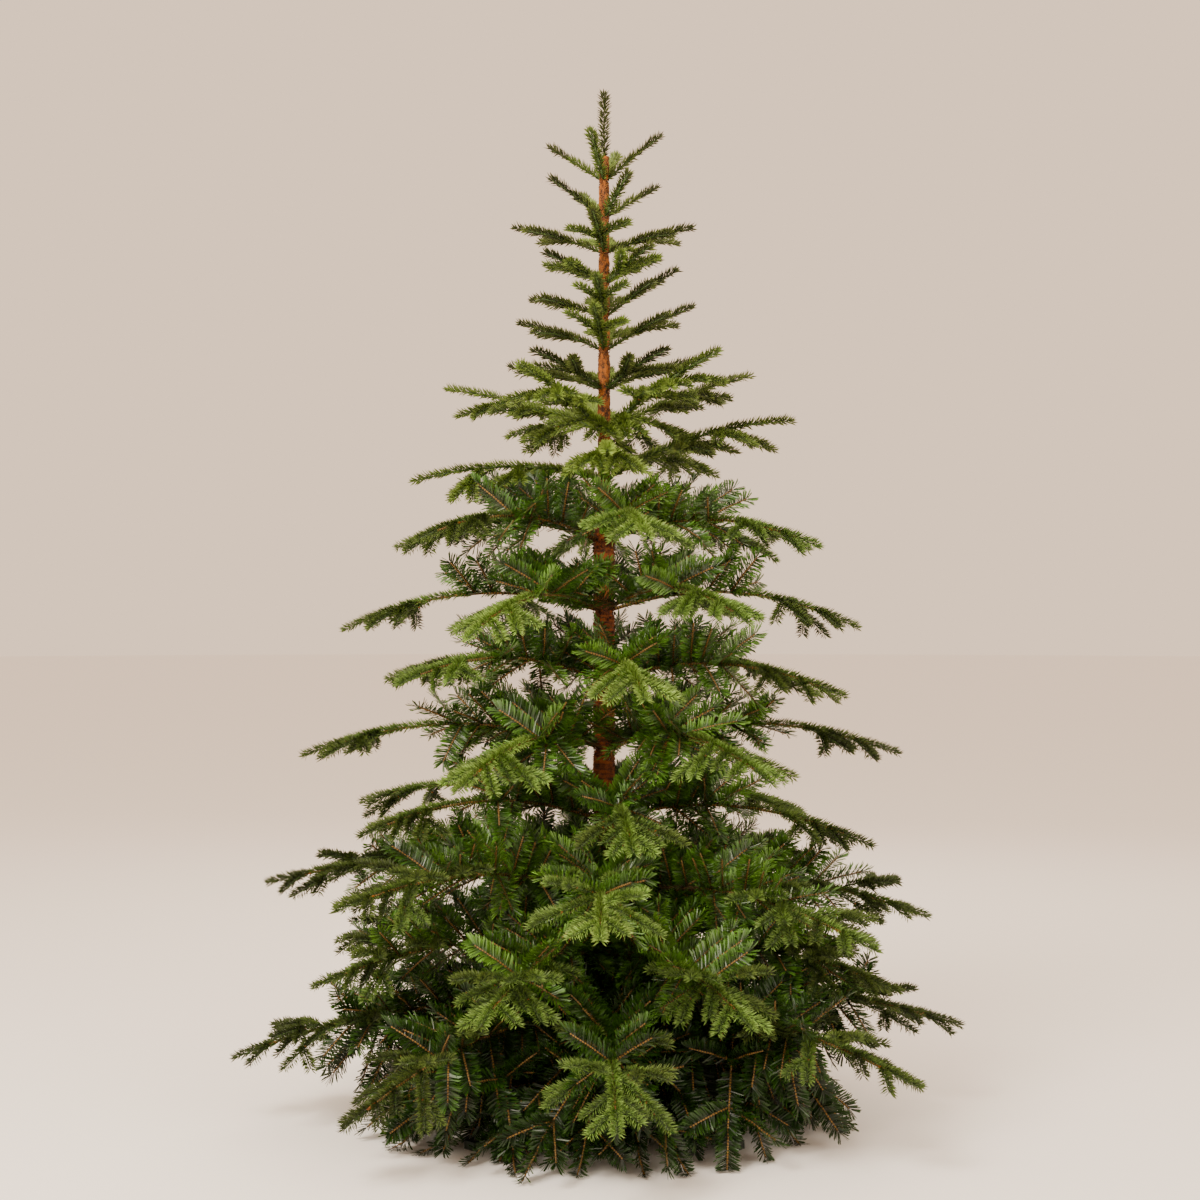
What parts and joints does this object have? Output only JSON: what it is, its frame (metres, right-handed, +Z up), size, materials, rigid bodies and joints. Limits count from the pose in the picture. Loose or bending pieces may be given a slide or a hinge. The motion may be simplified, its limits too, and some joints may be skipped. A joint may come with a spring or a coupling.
{
  "type": "artificial christmas tree",
  "caption": "Slim artificial fir with a bark-wrapped central pole, tiers of arching boughs with open gaps between them, and a folding steel stand.",
  "frame": {"origin": "on the floor under the pole's axis, which is the middle of the underside", "axes": "+Z up along the pole, -Y to the side that faces the viewer, +X to that viewer's right"},
  "size_m": [1.6115, 1.6394, 2.286],
  "materials": {
    "needles": "soft green plastic needles, fresh green at the tips and deep green inside",
    "bark_wrap": "rough red-brown bristle wrapped round steel",
    "stand_steel": "dark green powder coat",
    "zinc_screw": "bright zinc plate"
  },
  "bodies": {
    "root": {"leader": "needles", "stand_legs_lower": "stand_steel", "stand_legs_upper": "stand_steel", "stand_screw_1": "zinc_screw", "stand_screw_2": "zinc_screw", "stand_screw_3": "zinc_screw", "stand_socket": "stand_steel", "tier01_whorl": "needles", "tier02_whorl": "needles", "tier03_whorl": "needles", "tier04_whorl": "needles", "tier05_whorl": "needles", "tier06_whorl": "needles", "tier07_whorl": "needles", "tier08_whorl": "needles", "tier09_whorl": "needles", "tier10_whorl": "needles", "tier11_whorl": "needles", "tier12_whorl": "needles", "tier13_foliage_1": "needles", "tier13_foliage_2": "needles", "tier13_foliage_3": "needles", "tier13_foliage_4": "needles", "tier13_foliage_5": "needles", "tier13_foliage_6": "needles", "tier14_whorl": "needles", "tier15_bough_1": "bark_wrap", "tier15_bough_2": "bark_wrap", "tier15_bough_3": "bark_wrap", "tier15_bough_4": "bark_wrap", "tier15_bough_5": "bark_wrap", "tier15_bough_6": "bark_wrap", "tier15_bough_7": "bark_wrap", "tier15_bough_8": "bark_wrap", "tier15_foliage_1": "needles", "tier15_foliage_2": "needles", "tier15_foliage_3": "needles", "tier15_foliage_4": "needles", "tier15_foliage_5": "needles", "tier15_foliage_6": "needles", "tier15_foliage_7": "needles", "tier15_foliage_8": "needles", "tier16_whorl": "needles", "tier17_bough_1": "bark_wrap", "tier17_bough_2": "bark_wrap", "tier17_bough_3": "bark_wrap", "tier17_bough_4": "bark_wrap", "tier17_bough_5": "bark_wrap", "tier17_bough_6": "bark_wrap", "tier17_bough_7": "bark_wrap", "tier17_bough_8": "bark_wrap", "tier17_foliage_1": "needles", "tier17_foliage_2": "needles", "tier17_foliage_3": "needles", "tier17_foliage_4": "needles", "tier17_foliage_5": "needles", "tier17_foliage_6": "needles", "tier17_foliage_7": "needles", "tier17_foliage_8": "needles", "trunk": "bark_wrap"}
  },
  "joints": []
}
